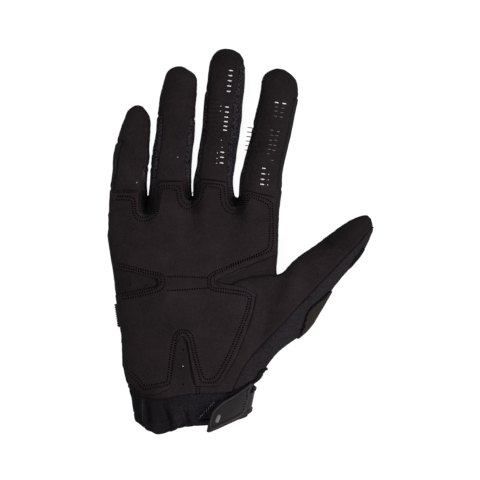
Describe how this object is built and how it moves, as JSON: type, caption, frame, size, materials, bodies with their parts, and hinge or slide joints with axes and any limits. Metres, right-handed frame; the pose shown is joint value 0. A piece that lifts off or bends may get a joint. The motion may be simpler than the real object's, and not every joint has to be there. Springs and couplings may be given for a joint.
{
  "type": "motocross glove",
  "caption": "Right-hand off-road riding glove lying palm up: hollow suede palm and fingers, stretch back, sewn palm overlay, wrist band and closure strap.",
  "frame": {"origin": "on the ground, at the centre of the glove's length and width, glove lying on its back", "axes": "+Z out of the palm, +Y towards the fingertips, +X towards the thumb side"},
  "size_m": [0.1457, 0.2103, 0.0423],
  "materials": {
    "palm_suede": "matte napped suede",
    "overlay_suede": "matte napped suede",
    "stretch_fabric": "matte knit",
    "gusset_mesh": "matte open mesh",
    "cuff_elastic": "matte elastic",
    "binding_tape": "matte tape",
    "loop_patch": "matte looped pile",
    "strap_rubber": "satin",
    "olive_guard": "satin",
    "silicone_print": "gloss",
    "thread": "matte"
  },
  "bodies": {
    "root": {"palm_panel": "palm_suede", "thumb_panel": "palm_suede", "palm_overlay": "overlay_suede", "thumb_side": "stretch_fabric", "back_panel": "stretch_fabric", "gusset_little_ring": "gusset_mesh", "gusset_ring_middle": "gusset_mesh", "gusset_middle_index": "gusset_mesh", "cuff": "cuff_elastic", "wrist_binding": "binding_tape", "closure_patch": "loop_patch", "closure_strap": "strap_rubber", "thumb_guard": "olive_guard", "side_guard": "strap_rubber"}
  },
  "joints": []
}
